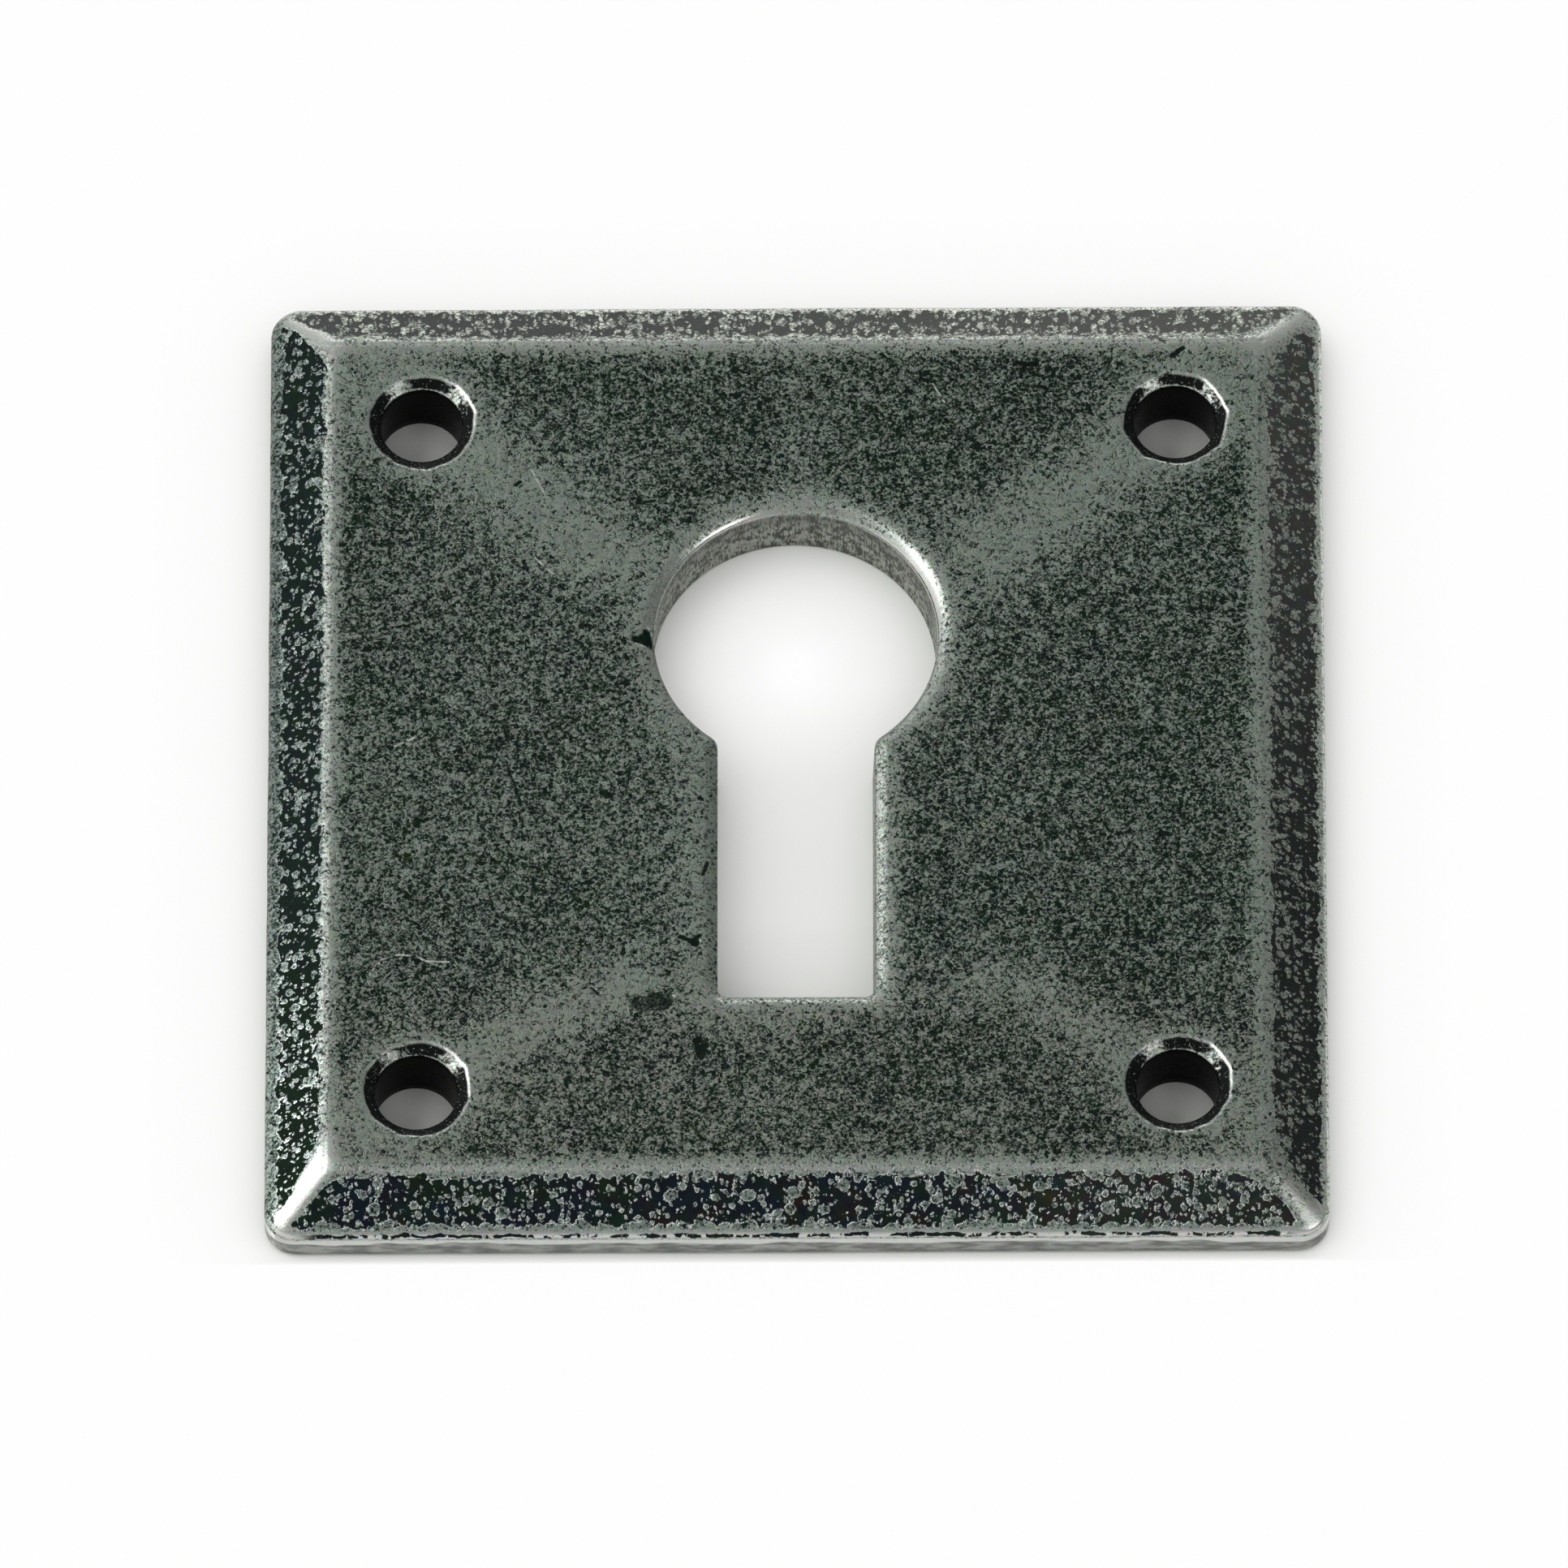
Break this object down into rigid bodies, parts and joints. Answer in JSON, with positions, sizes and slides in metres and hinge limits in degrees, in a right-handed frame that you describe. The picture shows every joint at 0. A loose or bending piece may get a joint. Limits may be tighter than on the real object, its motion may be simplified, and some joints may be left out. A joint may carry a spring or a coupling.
{
  "type": "keyhole escutcheon",
  "caption": "Square cast-metal keyhole escutcheon with a sloped border, a round-topped keyhole and countersunk corner screw holes, in a black and grey pewter patina.",
  "frame": {"origin": "centre of the flat back face", "axes": "+Z out of the front face, +Y towards the round end of the keyhole"},
  "size_m": [0.05, 0.05, 0.0036],
  "materials": {
    "patina_metal": "pewter patina: grey rubbed metal with black left in fine pits"
  },
  "bodies": {
    "root": {"escutcheon_plate": "patina_metal"}
  },
  "joints": []
}
